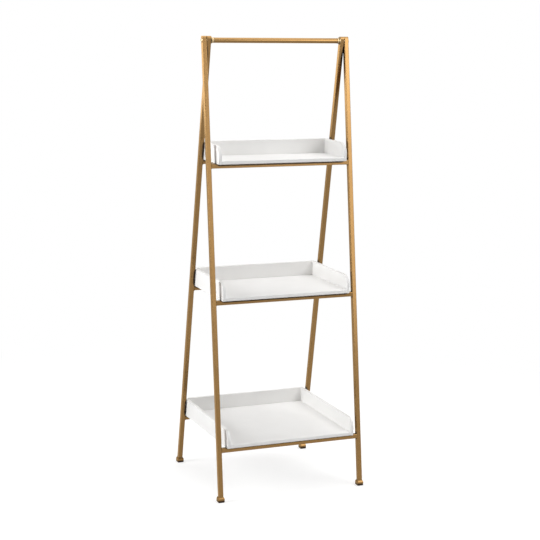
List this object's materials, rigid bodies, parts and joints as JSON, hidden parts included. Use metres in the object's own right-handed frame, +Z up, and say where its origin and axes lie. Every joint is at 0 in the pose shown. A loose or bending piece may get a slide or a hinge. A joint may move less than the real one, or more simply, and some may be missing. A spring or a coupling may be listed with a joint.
{
  "type": "folding A-frame shelf",
  "caption": "Folding A-frame accent shelf: two square-tube frames bolted together at the top, a cross rod, and shallow white trays that peg onto the rails.",
  "frame": {"origin": "on the floor, under the middle of the shelf", "axes": "+Z up, +X to the right as seen from the open front of the trays, -Y to the front"},
  "size_m": [0.4926, 0.4234, 1.3969],
  "materials": {
    "gold_frame": "satin gold",
    "white_board": "smooth white paint",
    "foot_cap": "satin gold",
    "glide_rubber": "matte",
    "bolt_steel": "pale gold",
    "sleeve_nylon": "plain",
    "beech": "bare"
  },
  "bodies": {
    "front_frame": {"front_left_foot": "foot_cap", "front_left_glide": "glide_rubber", "front_left_leg": "gold_frame", "front_right_foot": "foot_cap", "front_right_glide": "glide_rubber", "front_right_leg": "gold_frame", "left_pivot_bolt": "bolt_steel", "left_pivot_sleeve": "sleeve_nylon", "left_pivot_washer": "bolt_steel", "left_rod_end": "gold_frame", "lower_front_rail": "gold_frame", "middle_front_rail": "gold_frame", "right_pivot_bolt": "bolt_steel", "right_pivot_sleeve": "sleeve_nylon", "right_pivot_washer": "bolt_steel", "right_rod_end": "gold_frame", "top_rod": "gold_frame", "upper_front_rail": "gold_frame"},
    "rear_frame": {"lower_rear_rail": "gold_frame", "middle_rear_rail": "gold_frame", "rear_left_foot": "foot_cap", "rear_left_glide": "glide_rubber", "rear_left_leg": "gold_frame", "rear_right_foot": "foot_cap", "rear_right_glide": "glide_rubber", "rear_right_leg": "gold_frame", "upper_rear_rail": "gold_frame"},
    "upper_tray": {"upper_tray_back": "white_board", "upper_tray_bottom": "white_board", "upper_tray_cleat": "beech", "upper_tray_left_side": "white_board", "upper_tray_pegs": "beech", "upper_tray_right_side": "white_board"},
    "middle_tray": {"middle_tray_back": "white_board", "middle_tray_bottom": "white_board", "middle_tray_cleat": "beech", "middle_tray_left_side": "white_board", "middle_tray_pegs": "beech", "middle_tray_right_side": "white_board"},
    "lower_tray": {"lower_tray_back": "white_board", "lower_tray_bottom": "white_board", "lower_tray_cleat": "beech", "lower_tray_left_side": "white_board", "lower_tray_pegs": "beech", "lower_tray_right_side": "white_board"}
  },
  "joints": [
    {"name": "fold", "type": "hinge", "parent": "front_frame", "child": "rear_frame", "pos_m": [0, 0, 1.384], "axis": [-1, 0, 0], "range_deg": [0, 14.4]},
    {"name": "upper_tray_lift", "type": "slide", "parent": "front_frame", "child": "upper_tray", "axis": [0, 0, 1], "range_m": [0, 0.12]},
    {"name": "middle_tray_lift", "type": "slide", "parent": "front_frame", "child": "middle_tray", "axis": [0, 0, 1], "range_m": [0, 0.12]},
    {"name": "lower_tray_lift", "type": "slide", "parent": "front_frame", "child": "lower_tray", "axis": [0, 0, 1], "range_m": [0, 0.12]}
  ]
}
